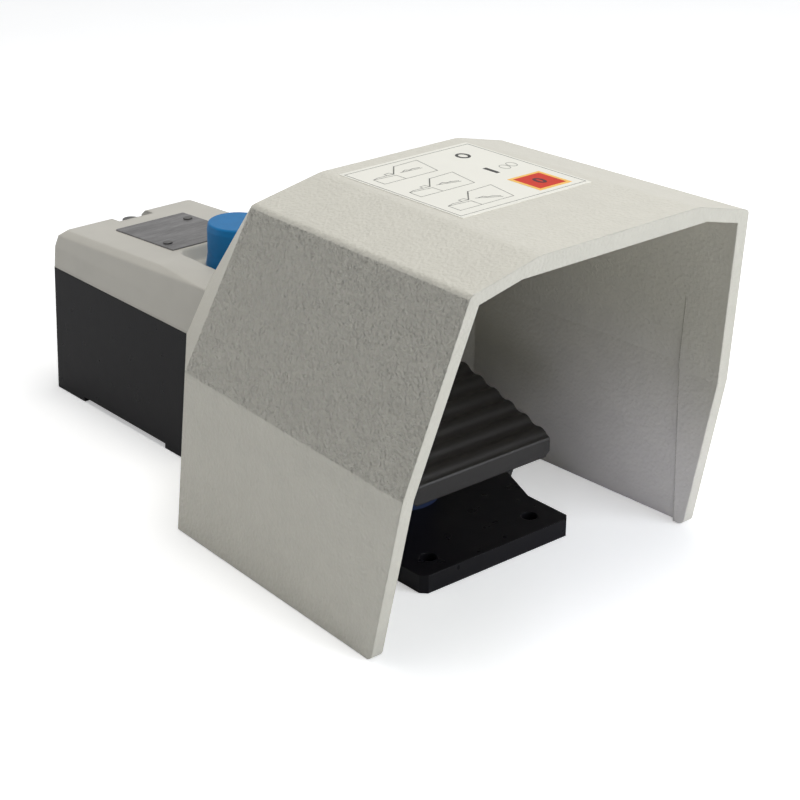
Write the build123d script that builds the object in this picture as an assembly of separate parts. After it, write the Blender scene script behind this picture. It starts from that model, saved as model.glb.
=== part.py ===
from build123d import *
import math
import os

os.makedirs("parts", exist_ok=True)

# Frame of this source: X to the right, Y from the hood's front lip to the rear, Z up from the floor, in mm.

# Hood skin, front outline
hood_height = 143.8
hood_lean_ratio = 0.21
hood_half_width = 80.0
top_front_share = 0.4575
shoulder_front_share = 0.805
shoulder_front_z = 136.5
waist_front_share = 0.97625
waist_front_z = 64.3

# Hood skin, rear outline
top_rear_share = 0.40125
top_rear_y = 115.0
top_rear_z = 141.4
shoulder_rear_share = 0.7475
shoulder_rear_y = 118.8
waist_rear_y = 145.2
waist_rear_z = 65.7
foot_rear_y = 150.3

# Hood funnel that closes on the switch box
funnel_end_half = 33.4
funnel_end_y = 185.0
funnel_end_z = 77.9
funnel_low_half = 36.3
funnel_low_y = 195.5
funnel_low_z = 55.6
funnel_foot_half = 37.9
funnel_foot_y = 199.0

# Hood walls and edges
hood_wall = 5.0
hood_top_wall = 6.8
hood_pocket_wall = 3.0
funnel_wall = 4.0
pocket_inner_share = 0.75
pocket_front_y = 35.0
pocket_bend_z = 66.0
pocket_fade_z = 97.0
hood_top_radius = 14.0
hood_shoulder_radius = 2.5
hood_waist_radius = 2.0
hood_toe_radius = 2.8
hood_seat_gap = 0.25

# Hood fixing bosses and screws
hood_boss_share = 0.7875
hood_boss_x = hood_half_width * hood_boss_share
hood_boss_radius = 6.5
hood_boss_top_z = 17.0
hood_boss_front_y = 119.0
hood_boss_pitch = 22.0
hood_screw_radius = 2.4
hood_screw_reach = 7.5
hood_screw_head_radius = 4.5
hood_screw_head_height = 2.8
screw_hole_gap = 0.1
head_hole_gap = 0.5

# Label on the hood
label_half_width = 30.05
label_front_y = 43.3
label_rear_y = 107.9
label_thickness = 0.15
label_corner_radius = 0.5

# Base plate
plate_thickness = 7.2
plate_front_y = 52.4
plate_half_width = 36.8
plate_corner_cut = 2.3
plate_flare_front_y = 75.5
plate_flare_rear_y = 96.0
plate_flare_half = 45.0
lug_front_y = 111.0
lug_rear_y = 147.0
lug_margin = 0.5
lug_half_width = hood_boss_x + hood_boss_radius + lug_margin
lug_corner_cut = 4.0
lug_tail_half = 45.0
lug_tail_y = 175.0
fixing_hole_half_pitch = 25.4
fixing_hole_y = 63.1
fixing_hole_radius = 3.25

# Switch box
box_half_width = 37.6
box_front_y = 158.5
box_rear_y = 294.5
box_rim_z = 55.6
box_draft_deg = 1.5
box_corner_radius = 2.0
box_floor = 5.0
box_cavity_half = 32.4
box_cavity_front_y = 162.5
box_cavity_rear_y = 289.0
box_cavity_radius = 3.0
box_foot_height = 2.0
box_foot_front_y = 272.0
box_foot_inner_half = 20.0
box_arch_front_y = 212.0

# Gasket in the rim of the switch box
gasket_width = 1.5
gasket_depth = 1.2
gasket_inset = 0.9

# Cover of the switch box
cover_skirt_half = 36.5
cover_belt_half = 35.9
cover_round_half = 34.7
cover_ridge_half = 31.8
cover_belt_z = 64.8
cover_level_z = 76.4
cover_rear_z = 71.8
cover_front_y = 160.3
cover_knee_y = 219.0
cover_rear_y = 293.4
cover_rear_belt_y = 292.9
cover_rear_round_y = 291.8
cover_rear_ridge_y = 289.0
cover_round_drop = 2.4
cover_wall = 3.0
cover_corner_radius = 2.0

# Screw of the cover, in a notch at the rear edge
notch_half_width = 8.5
notch_front_y = 283.2
notch_floor_z = 67.0
cover_screw_y = 287.4
cover_screw_radius = 2.4
cover_screw_reach = 17.0
cover_screw_head_height = 3.2
cover_post_half_width = 6.0
cover_post_front_y = 279.0
cover_post_bottom_z = 43.0
cover_screw_head_radius = 3.6

# Reset knob and its well
knob_y = 210.0
knob_top_z = 90.2
knob_top_radius = 11.6
knob_band_z = 87.4
knob_radius = 12.1
knob_neck_z = 77.4
knob_skirt_radius = 12.9
knob_skirt_z = 72.4
knob_bottom_z = 69.4
knob_edge_radius = 0.8
knob_spring_room_inner = 5.5
knob_spring_room_outer = 9.5
knob_spring_room_top_z = 82.0
well_floor_half = 14.0
well_front_y = 193.5
well_rear_y = 225.9
well_floor_z = 70.8
well_corner_radius = 4.0
well_slope_deg = 35.0
cup_inner_radius = 13.25
cup_outer_radius = 15.8
cup_floor_z = 61.0
cup_bottom_z = 58.0

# Stem of the knob
stem_radius = 4.0
stem_top_z = 86.0
stem_bottom_z = 52.0
stem_bore_gap = 0.08
stem_seal_height = 1.5
stem_seal_radius = 5.9
stem_seal_gap = 0.05
stem_clip_radius = 7.0
stem_clip_thickness = 1.0
stem_clip_play = 0.35
groove_depth = 0.8

# Nameplate on the cover
nameplate_half_width = 17.4
nameplate_front_y = 230.7
nameplate_rear_y = 273.0
nameplate_thickness = 0.5
nameplate_corner_radius = 0.8
nameplate_edge_share = 0.45
rivet_inset_x = 4.2
rivet_inset_y = 9.5
rivet_head_radius = 2.0
rivet_head_height = 0.5
rivet_shank_radius = 1.1
rivet_reach = 2.6

# Pedal
pedal_half_width = 34.0
pedal_front_y = 62.3
pedal_front_z = 30.1
pedal_tilt_deg = 15.9
pedal_face_height = 6.9
pedal_thickness = 7.1
pedal_corner_cut = 2.0
pedal_rear_y = 150.0
rib_pitch = 8.83
rib_height = 1.2
rib_count = 9
rib_start = 2.4

# Pedal pivot
axle_y = 150.0
axle_z = 50.0
axle_radius = 4.0
axle_half_length = 46.5
hub_radius = 7.0
hub_half_width = 34.0
bush_radius = 5.4
bush_fit_gap = 0.03
axle_fit_gap = 0.05
pedal_bore_gap = 0.2
bush_length = 14.0
bush_flange_radius = 6.6
bush_flange_thickness = 1.2
ear_inner_x = 36.2
ear_thickness = 6.6
ear_radius = 8.0
ear_foot_front_y = 132.0
ear_foot_rear_y = 168.0
axle_clip_radius = 7.5
axle_clip_thickness = 1.2

# Crank and latch arm of the pedal
web_half_width = 22.0
web_front_y = 143.0
web_rear_y = 148.0
web_bottom_z = 26.0
crank_half_width = 22.0
crank_thickness = 3.0
crank_top_z = 37.4
crank_bottom_z = 19.0
crank_screw_x = 8.0
crank_screw_z = 32.0
crank_screw_radius = 1.9
crank_screw_reach = 3.5
crank_screw_head_radius = 3.2
crank_screw_head_height = 2.0
arm_half_width = 5.0
arm_bottom_z = 38.5
arm_top_z = 44.5
arm_end_y = 186.0
arm_window_half = 6.0
arm_window_bottom_z = 37.6
arm_window_top_z = 48.8

# Return springs and the stop pad under the pedal
return_spring_x = 24.0
return_spring_y = 128.0
return_spring_radius = 5.5
return_spring_wire = 1.0
return_spring_turns = 7
spring_seat_radius = 7.5
spring_seat_z = 46.0
spring_seat_gap = 0.3
stop_pad_y = 109.0
stop_pad_radius = 15.5
stop_pad_waist_radius = 12.5
stop_pad_flange = 4.0
stop_pad_top_z = 28.0
stop_pad_edge_radius = 1.2

# Plungers and contact blocks
plunger_x = 16.0
plunger_z = 25.0
plunger_radius = 3.0
plunger_tip_gap = 0.15
plunger_bore_gap = 0.1
plunger_length = 33.0
plunger_travel = 5.0
block_inner_x = 5.0
block_outer_x = 27.0
block_front_y = 170.0
block_rear_y = 215.0
block_top_z = 33.0
block_ledge_y = 204.0
block_ledge_z = 24.0
block_edge_cut = 1.0
terminal_inset = 5.5
terminal_width = 7.0
terminal_length = 8.0
terminal_thickness = 1.5
terminal_screw_radius = 1.3
terminal_screw_head_radius = 2.7
terminal_screw_head_height = 2.0
terminal_screw_reach = 7.0

# Rail that carries the contact blocks
rail_half_width = 29.0
rail_front_y = 167.0
rail_rear_y = 220.0
rail_thickness = 2.0
rail_screw_front_y = 177.0
rail_screw_pitch = 30.0
small_screw_radius = 1.6
small_screw_reach = 2.2
small_screw_head_radius = 3.0
small_screw_head_height = 2.0

# Latch
latch_y = 232.0
latch_z = 48.0
latch_half_width = 2.5
latch_hub_radius = 4.5
latch_arm_top_z = 50.4
latch_arm_bottom_z = 44.7
latch_nose_y = 188.0
latch_nose_rear_y = 194.0
latch_nose_bottom_z = 41.5
latch_pad_radius = 3.0
latch_pad_gap = 0.3
latch_pin_radius = 2.0
latch_pin_gap = 0.05
latch_pin_half = 7.2
latch_pin_head_radius = 3.2
latch_pin_head = 1.0
bracket_inner_x = 3.2
bracket_thickness = 2.0
bracket_front_y = 226.0
bracket_rear_y = 240.0
bracket_top_z = 54.0
bracket_foot_half = 14.0
bracket_foot_front_y = 224.0
bracket_shelf_front_y = 216.5
bracket_shelf_z = 30.0
bracket_screw_x = 9.8
bracket_screw_y = 233.0
latch_spring_y = 221.0
latch_spring_radius = 2.3
latch_spring_wire = 0.7
latch_spring_turns = 5

# Button spring
button_spring_radius = 7.5
button_spring_wire = 1.1
button_spring_turns = 5

# Earth terminal
earth_x = 22.0
earth_y = 256.0
earth_boss_radius = 5.5
earth_boss_height = 6.0
earth_washer_radius = 5.0
earth_washer_thickness = 1.2
earth_screw_radius = 1.9
earth_head_radius = 3.6
earth_head_height = 2.6
earth_screw_reach = 5.0

# Cable gland
gland_z = 28.0
gland_boss_radius = 15.5
gland_boss_y = 294.9
gland_hole_radius = 10.3
gland_thread_radius = 10.0
gland_thread_y = 281.5
gland_flat = 24.0
gland_flange_length = 5.0
gland_bore_radius = 5.5
gland_neck_radius = 9.4
gland_neck_length = 6.0
gland_nut_length = 10.5
gland_nut_gap = 0.3
gland_nut_taper = 2.0
gland_seal_radius = 8.2
gland_seal_length = 7.0
gland_locknut_thickness = 4.0
gland_locknut_flat = 26.0
gland_socket_gap = 0.1
hex_side_count = 6
arcs_per_turn_count = 4
screw_slot_share = 0.25

overall_length = gland_boss_y + gland_flange_length + gland_nut_gap + gland_nut_length


# Helpers
def pt(x, y, z):
    return Vector(x, y, z)


def block(x0, x1, y0, y1, z0, z1):
    solid = Box(x1 - x0, y1 - y0, z1 - z0)
    return Pos((x0 + x1) / 2, (y0 + y1) / 2, (z0 + z1) / 2) * solid


def tube_z(x, y, z0, z1, outer, inner=0.0):
    solid = Cylinder(outer, z1 - z0)
    if inner > 0.0:
        solid = solid - Cylinder(inner, z1 - z0)
    return Pos(x, y, (z0 + z1) / 2) * solid


def tube_x(x0, x1, y, z, outer, inner=0.0):
    solid = Cylinder(outer, x1 - x0)
    if inner > 0.0:
        solid = solid - Cylinder(inner, x1 - x0)
    return Pos((x0 + x1) / 2, y, z) * (Rot(0, 90, 0) * solid)


def tube_y(x, y0, y1, z, outer, inner=0.0):
    solid = Cylinder(outer, y1 - y0)
    if inner > 0.0:
        solid = solid - Cylinder(inner, y1 - y0)
    return Pos(x, (y0 + y1) / 2, z) * (Rot(-90, 0, 0) * solid)


def hex_y(x, y0, y1, z, flat):
    profile = RegularPolygon(flat / 2, hex_side_count, major_radius=False)
    solid = extrude(profile, amount=y1 - y0)
    return Pos(x, y0, z) * (Rot(-90, 0, 0) * solid)


def side_prism(points, x0, x1):
    ring = [pt(x0, y, z) for y, z in points]
    face = Face(Wire.make_polygon(ring, close=True))
    return Solid.extrude(face, pt(x1 - x0, 0, 0))


def turned(profile, x, y):
    ring = [pt(r, 0, z) for r, z in profile]
    face = Face(Wire.make_polygon(ring, close=True))
    return Pos(x, y, 0) * revolve(face, Axis.Z)


def both_sides(shape):
    return [shape, mirror(shape, about=Plane.YZ)]


def biarc(start, start_run, end, end_run):
    gap = end - start
    both = start_run + end_run
    lean = 2 * (1 - start_run.dot(end_run))
    reach = (math.sqrt(gap.dot(both) ** 2 + lean * gap.dot(gap)) - gap.dot(both)) / lean
    middle = (start + start_run * reach + end - end_run * reach) * 0.5
    first = Edge.make_tangent_arc(start, start_run, middle)
    return [first, Edge.make_tangent_arc(middle, first % 1, end)]


def wave(start, end, run):
    middle = (start + end) * 0.5
    first = Edge.make_tangent_arc(start, run, middle)
    return [first, Edge.make_tangent_arc(middle, first % 1, end)]


def coil(x, y, z0, z1, radius, wire, turns):
    rise = (z1 - z0 - wire) / turns
    steps = turns * arcs_per_turn_count
    slope = math.hypot(2 * math.pi * radius, rise)
    spots = []
    for step in range(steps + 1):
        angle = 2 * math.pi * step / arcs_per_turn_count
        spot = pt(radius * math.cos(angle), radius * math.sin(angle), rise * step / arcs_per_turn_count)
        around = 2 * math.pi * radius / slope
        run = pt(-math.sin(angle) * around, math.cos(angle) * around, rise / slope)
        spots.append((spot, run))
    edges = []
    for low, high in zip(spots, spots[1:]):
        edges.extend(biarc(low[0], low[1], high[0], high[1]))
    path = Wire(edges)
    section = Plane(spots[0][0], z_dir=spots[0][1]) * Circle(wire / 2)
    return Pos(x, y, z0 + wire / 2) * sweep(section, path)


def screw_down(x, y, seat_z, radius, reach, head_radius, head_height):
    head = tube_z(x, y, seat_z, seat_z + head_height, head_radius)
    shank = tube_z(x, y, seat_z - reach, seat_z, radius)
    slot_half = radius * screw_slot_share
    slot = block(x - head_radius, x + head_radius, y - slot_half, y + slot_half,
                 seat_z + head_height / 2, seat_z + head_height)
    return head + shank - slot


# Corner points of the hood's skin
def front_y(z):
    return hood_lean_ratio * (hood_height - z)


def on_plane(a, b, c, x=None, y=0.0, z=None):
    normal = (b - a).cross(c - a)
    if z is None:
        return pt(x, y, a.Z - (normal.X * (x - a.X) + normal.Y * (y - a.Y)) / normal.Z)
    return pt(a.X - (normal.Y * (y - a.Y) + normal.Z * (z - a.Z)) / normal.X, y, z)


top_front = pt(hood_half_width * top_front_share, 0, hood_height)
shoulder_front = pt(hood_half_width * shoulder_front_share, front_y(shoulder_front_z), shoulder_front_z)
waist_front = pt(hood_half_width * waist_front_share, front_y(waist_front_z), waist_front_z)
foot_front = pt(hood_half_width, front_y(0), 0)
top_rear = pt(hood_half_width * top_rear_share, top_rear_y, top_rear_z)
shoulder_rear = on_plane(top_front, shoulder_front, top_rear,
                         x=hood_half_width * shoulder_rear_share, y=shoulder_rear_y)
waist_rear = on_plane(shoulder_front, waist_front, shoulder_rear, y=waist_rear_y, z=waist_rear_z)
foot_rear = on_plane(waist_front, foot_front, waist_rear, y=foot_rear_y, z=0)
funnel_end = pt(funnel_end_half, funnel_end_y, funnel_end_z)
funnel_low = pt(funnel_low_half, funnel_low_y, funnel_low_z)
funnel_foot = pt(funnel_foot_half, funnel_foot_y, 0)
hood_core = pt(0, top_rear_y / 2, waist_front_z)


def flipped(point):
    return pt(-point.X, point.Y, point.Z)


def faceted(side, chains):
    rings = side + [[flipped(point) for point in ring] for ring in side]
    for chain in chains:
        rings.append(chain + [flipped(point) for point in reversed(chain)])
    faces = [Face(Wire.make_polygon(ring, close=True)) for ring in rings]
    return Solid(Shell(faces))


def hood_skin():
    side = [
        [top_front, top_rear, shoulder_rear, shoulder_front],
        [shoulder_front, shoulder_rear, waist_rear, waist_front],
        [waist_front, waist_rear, foot_rear, foot_front],
        [top_rear, funnel_end, shoulder_rear],
        [shoulder_rear, funnel_end, waist_rear],
        [waist_rear, funnel_end, funnel_low],
        [waist_rear, funnel_low, funnel_foot],
        [waist_rear, funnel_foot, foot_rear],
    ]
    chains = [
        [top_front, top_rear],
        [top_rear, funnel_end],
        [funnel_end, funnel_low],
        [funnel_low, funnel_foot],
        [top_front, shoulder_front, waist_front, foot_front],
        [foot_front, foot_rear, funnel_foot],
    ]
    return faceted(side, chains)


def skin_plane(a, b, c, wall):
    normal = (b - a).cross(c - a).normalized()
    if normal.dot(a - hood_core) < 0:
        normal = normal * -1
    return Plane(origin=a - normal * wall, z_dir=normal)


def trimmed(solid, planes):
    for plane in planes:
        solid = split(solid, bisect_by=plane, keep=Keep.BOTTOM)
    return solid


def hood_rear_planes():
    return [
        skin_plane(top_rear, funnel_end, shoulder_rear, funnel_wall),
        skin_plane(shoulder_rear, funnel_end, waist_rear, funnel_wall),
        skin_plane(waist_rear, funnel_end, funnel_low, funnel_wall),
        skin_plane(waist_rear, funnel_low, funnel_foot, funnel_wall),
        skin_plane(waist_rear, funnel_foot, foot_rear, funnel_wall),
        skin_plane(top_rear, flipped(top_rear), funnel_end, funnel_wall),
    ]


def hood_room():
    room = block(0, hood_half_width, -hood_wall, box_rear_y, -hood_wall, hood_height)
    planes = hood_rear_planes()
    planes.append(skin_plane(top_front, flipped(top_front), top_rear, hood_top_wall))
    planes.append(skin_plane(top_front, shoulder_front, top_rear, hood_wall))
    planes.append(skin_plane(shoulder_front, waist_front, shoulder_rear, hood_wall))
    planes.append(skin_plane(waist_front, foot_front, waist_rear, hood_wall))
    return trimmed(room, planes)


def x_on(plane, y, z):
    normal = plane.z_dir
    start = plane.origin
    return start.X - (normal.Y * (y - start.Y) + normal.Z * (z - start.Z)) / normal.X


def hood_pocket():
    lean = (pocket_fade_z - pocket_bend_z) * hood_lean_ratio
    outline = [
        (pocket_front_y, -hood_wall),
        (pocket_front_y, pocket_bend_z),
        (pocket_front_y - lean, pocket_fade_z),
        (funnel_end_y, pocket_fade_z),
        (funnel_end_y, -hood_wall),
    ]
    room = side_prism(outline, hood_half_width * pocket_inner_share, hood_half_width)
    low = skin_plane(waist_front, foot_front, waist_rear, hood_pocket_wall)
    high = skin_plane(shoulder_front, waist_front, shoulder_rear, hood_wall)
    bend_front = pt(x_on(low, pocket_front_y, pocket_bend_z), pocket_front_y, pocket_bend_z)
    bend_rear = pt(x_on(low, waist_rear_y, pocket_bend_z), waist_rear_y, pocket_bend_z)
    fade_front = pt(x_on(high, pocket_front_y, pocket_fade_z), pocket_front_y, pocket_fade_z)
    planes = [low, skin_plane(bend_front, bend_rear, fade_front, 0)]
    planes.extend(hood_rear_planes())
    return trimmed(room, planes)


def hood_bosses():
    bosses = []
    for row in range(2):
        y = hood_boss_front_y + row * hood_boss_pitch
        boss = tube_z(hood_boss_x, y, plate_thickness, hood_boss_top_z, hood_boss_radius)
        bridge = block(hood_boss_x, hood_half_width, y - hood_boss_radius, y + hood_boss_radius,
                       plate_thickness, hood_boss_top_z)
        bosses.append(boss + bridge)
    return bosses


def boss_spots():
    return [(side * hood_boss_x, hood_boss_front_y + row * hood_boss_pitch)
            for side in (-1, 1) for row in range(2)]


def rounded_skin():
    skin = hood_skin()
    creases = [
        (top_front, top_rear, hood_top_radius),
        (shoulder_front, shoulder_rear, hood_shoulder_radius),
        (waist_front, waist_rear, hood_waist_radius),
        (foot_front, flipped(foot_front), hood_toe_radius),
    ]
    for start, end, radius in creases:
        middle = (start + end) * 0.5
        spots = [middle, flipped(middle)]
        edges = [edge for edge in skin.edges() if min((edge @ 0.5 - spot).length for spot in spots) < hood_seat_gap]
        skin = fillet(edges, radius)
    return skin


def make_hood():
    skin = rounded_skin()
    hood = skin
    for room in (hood_room(), hood_pocket()):
        for side in both_sides(room):
            hood = hood - side
    for boss in hood_bosses():
        for side in both_sides(boss):
            hood = hood + (side & skin)
    hood = hood - cover_shape(hood_seat_gap) - box_shape(hood_seat_gap)
    for x, y in boss_spots():
        hood = hood - tube_z(x, y, plate_thickness, plate_thickness + hood_screw_reach + screw_hole_gap * 2,
                             hood_screw_radius + screw_hole_gap)
    return hood


def make_hood_screws():
    seat_z = hood_screw_head_height + head_hole_gap
    reach = plate_thickness - seat_z + hood_screw_reach
    screws = []
    for x, y in boss_spots():
        screw = screw_down(0, 0, 0, hood_screw_radius, reach, hood_screw_head_radius, hood_screw_head_height)
        screws.append(Pos(x, y, seat_z) * (Rot(180, 0, 0) * screw))
    return screws


# Sticker on the hood's top
def make_label():
    middle_y = (label_front_y + label_rear_y) / 2
    slope = (top_rear_z - hood_height) / top_rear_y
    plane = Plane(origin=pt(0, middle_y, hood_height + slope * middle_y), x_dir=(1, 0, 0), z_dir=(0, -slope, 1))
    outline = RectangleRounded(label_half_width * 2, label_rear_y - label_front_y, label_corner_radius)
    return extrude(plane * outline, amount=label_thickness)


# Switch box and its cover
def box_shape(grow=0.0):
    width = (box_half_width + grow) * 2
    length = box_rear_y - box_front_y + grow * 2
    outline = RectangleRounded(width, length, box_corner_radius)
    return Pos(0, (box_rear_y + box_front_y) / 2, 0) * extrude(outline, amount=box_rim_z, taper=box_draft_deg)


def cover_drop():
    return (cover_level_z - cover_rear_z) / (cover_rear_ridge_y - cover_knee_y)


def cover_section(half, rear_y, base_z, drop, grow):
    front_y = cover_front_y - cover_ridge_half
    middle_y = (front_y + rear_y + grow) / 2
    length = (rear_y + grow - front_y) * math.hypot(1, drop)
    height = base_z + (rear_y - middle_y) * drop
    plane = Plane(origin=pt(0, middle_y, height), x_dir=(1, 0, 0), z_dir=(0, drop, 1))
    return plane * RectangleRounded((half + grow) * 2, length, cover_corner_radius)


def cover_shape(grow=0.0):
    sections = [
        cover_section(cover_skirt_half, cover_rear_y, box_rim_z, 0, grow),
        cover_section(cover_belt_half, cover_rear_belt_y, cover_belt_z + grow, 0, grow),
        cover_section(cover_round_half, cover_rear_round_y, cover_rear_z - cover_round_drop + grow, cover_drop(),
                      grow),
        cover_section(cover_ridge_half, cover_rear_ridge_y, cover_rear_z + grow, cover_drop(), grow),
    ]
    body = loft(sections, ruled=True)
    return body & block(-box_rear_y, box_rear_y, cover_front_y - grow, box_rear_y * 2, 0, cover_level_z + grow)


def well_tool(grow=0.0):
    middle_y = (well_front_y + well_rear_y) / 2
    width = (well_floor_half + grow) * 2
    length = well_rear_y - well_front_y + grow * 2
    outline = RectangleRounded(width, length, well_corner_radius)
    tool = extrude(outline, amount=cover_level_z - well_floor_z + cover_wall, taper=-well_slope_deg)
    return Pos(0, middle_y, well_floor_z - grow) * tool


def cover_room():
    room = cover_shape(-cover_wall)
    room = room + block(-box_cavity_half, box_cavity_half, box_cavity_front_y + cover_wall,
                        box_cavity_rear_y - cover_wall / 2, box_rim_z - cover_wall, box_rim_z + cover_wall)
    room = room - well_tool(cover_wall)
    room = room - tube_z(0, knob_y, cup_bottom_z, hood_height, cup_outer_radius)
    return room - block(-notch_half_width - cover_wall, notch_half_width + cover_wall, notch_front_y - cover_wall,
                        cover_rear_y, 0, hood_height)


def make_cover():
    cover = cover_shape() - cover_room()
    cover = cover - well_tool()
    cover = cover - tube_z(0, knob_y, cup_floor_z, hood_height, cup_inner_radius)
    cover = cover - tube_z(0, knob_y, 0, hood_height, stem_radius + stem_bore_gap)
    cover = cover - block(-notch_half_width, notch_half_width, notch_front_y, cover_rear_y * 2,
                          notch_floor_z, hood_height)
    cover = cover - tube_z(0, cover_screw_y, 0, hood_height, cover_screw_radius + screw_hole_gap)
    for x, y in rivet_spots():
        cover = cover - rivet_hole(x, y)
    return cover


def make_cover_screw():
    return screw_down(0, cover_screw_y, notch_floor_z, cover_screw_radius, cover_screw_reach,
                      cover_screw_head_radius, cover_screw_head_height)


def gasket_ring(grow):
    inset = gasket_inset + math.tan(math.radians(box_draft_deg)) * box_rim_z
    rings = []
    for step in (inset - grow, inset + gasket_width + grow):
        width = (box_half_width - step) * 2
        length = box_rear_y - box_front_y - step * 2
        rings.append(RectangleRounded(width, length, box_corner_radius - gasket_inset))
    ring = extrude(rings[0] - rings[1], amount=gasket_depth)
    return Pos(0, (box_rear_y + box_front_y) / 2, box_rim_z - gasket_depth) * ring


def plate_outline():
    half = [
        (plate_half_width - plate_corner_cut, plate_front_y),
        (plate_half_width, plate_front_y + plate_corner_cut),
        (plate_half_width, plate_flare_front_y),
        (plate_flare_half, plate_flare_rear_y),
        (lug_half_width - lug_corner_cut * 2, lug_front_y - lug_corner_cut / 2),
        (lug_half_width, lug_front_y + lug_corner_cut),
        (lug_half_width, lug_rear_y - lug_corner_cut),
        (lug_half_width - lug_corner_cut, lug_rear_y),
        (lug_tail_half, lug_tail_y),
    ]
    ring = half + [(-x, y) for x, y in reversed(half)]
    return Face(Wire.make_polygon([pt(x, y, 0) for x, y in ring], close=True))


def ear():
    points = [
        (ear_foot_front_y, 0),
        (ear_foot_rear_y, 0),
        (ear_foot_rear_y, axle_z),
        (axle_y + ear_radius, axle_z),
        (axle_y - ear_radius, axle_z),
    ]
    x1 = ear_inner_x + ear_thickness
    plate = side_prism(points, ear_inner_x, x1)
    return plate + tube_x(ear_inner_x, x1, axle_y, axle_z, ear_radius)


def make_base():
    base = Solid.extrude(plate_outline(), pt(0, 0, plate_thickness))
    for side in both_sides(ear()):
        base = base + side
    base = base + box_shape()
    base = base + tube_y(0, box_rear_y - gland_boss_radius / 2, gland_boss_y, gland_z, gland_boss_radius)
    room_width = box_cavity_half * 2
    room_length = box_cavity_rear_y - box_cavity_front_y
    outline = RectangleRounded(room_width, room_length, box_cavity_radius)
    room = Pos(0, (box_cavity_rear_y + box_cavity_front_y) / 2, box_floor) * extrude(outline, amount=box_rim_z)
    base = base - room
    base = base - gasket_ring(bush_fit_gap)
    post = block(-cover_post_half_width, cover_post_half_width, cover_post_front_y, box_cavity_rear_y + cover_wall / 2,
                 cover_post_bottom_z, box_rim_z - gasket_depth)
    base = base + post
    base = base + tube_z(earth_x, earth_y, box_floor, box_floor + earth_boss_height, earth_boss_radius)
    return base - base_holes()


def base_holes():
    tools = []
    for side in (-1, 1):
        tools.append(tube_z(side * fixing_hole_half_pitch, fixing_hole_y, 0, plate_thickness, fixing_hole_radius))
        tools.append(tube_y(side * plunger_x, box_front_y - cover_wall, box_cavity_front_y + cover_wall, plunger_z,
                            plunger_radius + plunger_bore_gap))
        tools.append(tube_z(side * bracket_screw_x, bracket_screw_y, box_floor - small_screw_reach, box_floor,
                            small_screw_radius + screw_hole_gap))
    for x, y in boss_spots():
        tools.append(tube_z(x, y, 0, plate_thickness, hood_screw_radius + screw_hole_gap))
        tools.append(tube_z(x, y, 0, hood_screw_head_height + head_hole_gap, hood_screw_head_radius + head_hole_gap))
    for row in range(2):
        tools.append(tube_z(0, rail_screw_front_y + row * rail_screw_pitch, box_floor - small_screw_reach, box_floor,
                            small_screw_radius + screw_hole_gap))
    tools.append(tube_x(-axle_half_length, axle_half_length, axle_y, axle_z, axle_radius + axle_fit_gap))
    tools.append(block(-arm_window_half, arm_window_half, box_front_y - cover_wall, box_cavity_front_y + cover_wall,
                       arm_window_bottom_z, arm_window_top_z))
    tools.append(tube_z(0, cover_screw_y, notch_floor_z - cover_screw_reach - screw_hole_gap * 2, box_rim_z,
                        cover_screw_radius + screw_hole_gap))
    tools.append(tube_z(earth_x, earth_y, box_floor + earth_boss_height - earth_screw_reach - screw_hole_gap,
                        box_floor + earth_boss_height, earth_screw_radius + screw_hole_gap))
    tools.append(tube_y(0, box_cavity_rear_y - cover_wall, gland_boss_y, gland_z, gland_hole_radius))
    tools.append(block(-box_half_width, box_half_width, box_arch_front_y, box_foot_front_y, 0, box_foot_height))
    tools.append(block(-box_foot_inner_half, box_foot_inner_half, box_foot_front_y, box_rear_y, 0, box_foot_height))
    return tools


# Reset knob
def make_knob():
    profile = [
        (0, knob_top_z),
        (knob_top_radius, knob_top_z),
        (knob_radius, knob_band_z),
        (knob_radius, knob_neck_z),
        (knob_skirt_radius, knob_skirt_z),
        (knob_skirt_radius, knob_bottom_z),
        (knob_spring_room_outer, knob_bottom_z),
        (knob_spring_room_outer, knob_spring_room_top_z),
        (knob_spring_room_inner, knob_spring_room_top_z),
        (knob_spring_room_inner, knob_bottom_z),
        (0, knob_bottom_z),
    ]
    knob = turned(profile, 0, knob_y)
    rim = [edge for edge in knob.edges() if abs((edge @ 0).Z - knob_top_z) < bush_fit_gap]
    knob = fillet(rim, knob_edge_radius)
    return knob - tube_z(0, knob_y, knob_bottom_z, stem_top_z, stem_radius + bush_fit_gap)


def clip_z():
    return cup_bottom_z - stem_clip_play - stem_clip_thickness


def make_stem():
    stem = tube_z(0, knob_y, stem_bottom_z, stem_top_z, stem_radius)
    groove = tube_z(0, knob_y, clip_z(), clip_z() + stem_clip_thickness, stem_radius * 2, stem_radius - groove_depth)
    return stem - groove


def open_ring(thickness, outer, inner):
    ring = Cylinder(outer, thickness) - Cylinder(inner, thickness)
    return ring - Pos(0, outer, 0) * Box(inner, outer * 2, thickness)


def make_stem_clip():
    ring = open_ring(stem_clip_thickness, stem_clip_radius, stem_radius - groove_depth + bush_fit_gap)
    return Pos(0, knob_y, clip_z() + stem_clip_thickness / 2) * ring


def make_stem_seal():
    return tube_z(0, knob_y, cup_floor_z, cup_floor_z + stem_seal_height, stem_seal_radius, stem_radius + stem_seal_gap)


def make_button_spring():
    return coil(0, knob_y, cup_floor_z + spring_seat_gap, knob_spring_room_top_z - spring_seat_gap,
                button_spring_radius, button_spring_wire, button_spring_turns)


# Nameplate
def cover_slope_plane(y):
    height = cover_level_z - (y - cover_knee_y) * cover_drop()
    return Plane(origin=pt(0, y, height), x_dir=(1, 0, 0), z_dir=(0, cover_drop(), 1))


def nameplate_middle_y():
    return (nameplate_front_y + nameplate_rear_y) / 2


def rivet_spots():
    x = nameplate_half_width - rivet_inset_x
    y = (nameplate_rear_y - nameplate_front_y) / 2 - rivet_inset_y
    return [(-x, -y), (x, y)]


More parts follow.
